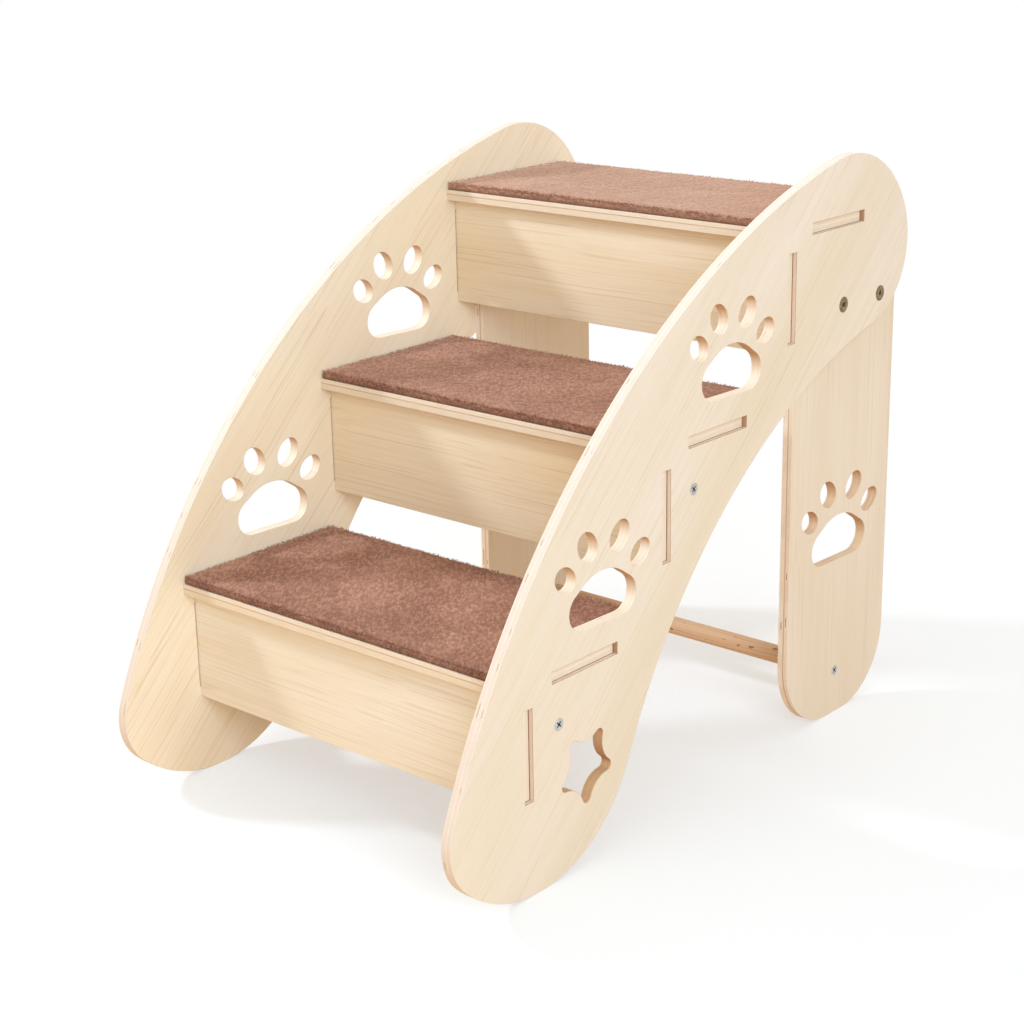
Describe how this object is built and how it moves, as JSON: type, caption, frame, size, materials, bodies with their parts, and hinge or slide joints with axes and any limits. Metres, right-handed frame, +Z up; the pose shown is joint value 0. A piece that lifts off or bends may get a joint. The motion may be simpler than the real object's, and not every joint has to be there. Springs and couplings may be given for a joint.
{
  "type": "pet stairs",
  "caption": "Free-standing wooden pet stairs with carpeted treads between arched side panels with paw and star cut-outs, on plank legs joined by a round stretcher.",
  "frame": {"origin": "middle of the footprint's bounding box, on the floor", "axes": "+X to the right across the width, as seen by someone about to climb; +Y towards the back, the way the stairs climb; +Z up"},
  "size_m": [0.4, 0.644, 0.5421],
  "materials": {
    "panel_plywood": "pale plywood, sanded smooth, clear matt lacquer",
    "leg_plywood": "pale plywood, sanded smooth, clear matt lacquer",
    "tread_board": "pale plywood, sanded smooth, clear matt lacquer",
    "riser_board": "warm pine veneer with fine level grain, clear matt lacquer",
    "dowel_wood": "turned dowel, sanded",
    "carpet_pile": "short mottled brown pile",
    "zinc_screw": "bright zinc plate",
    "bronze_fitting": "dark antique bronze plate"
  },
  "bodies": {
    "root": {"side_panel_left": "panel_plywood", "side_panel_right": "panel_plywood", "leg_left": "leg_plywood", "leg_right": "leg_plywood", "tread_bottom": "tread_board", "tread_middle": "tread_board", "tread_top": "tread_board", "riser_bottom": "riser_board", "riser_middle": "riser_board", "riser_top": "riser_board", "carpet_bottom": "carpet_pile", "carpet_middle": "carpet_pile", "carpet_top": "carpet_pile", "tie_rod_bottom": "dowel_wood", "tie_rod_middle": "dowel_wood", "leg_stretcher": "dowel_wood", "tie_screws": "zinc_screw", "stretcher_screws": "zinc_screw", "leg_bolts": "bronze_fitting", "leg_cap_nuts": "bronze_fitting"}
  },
  "joints": []
}
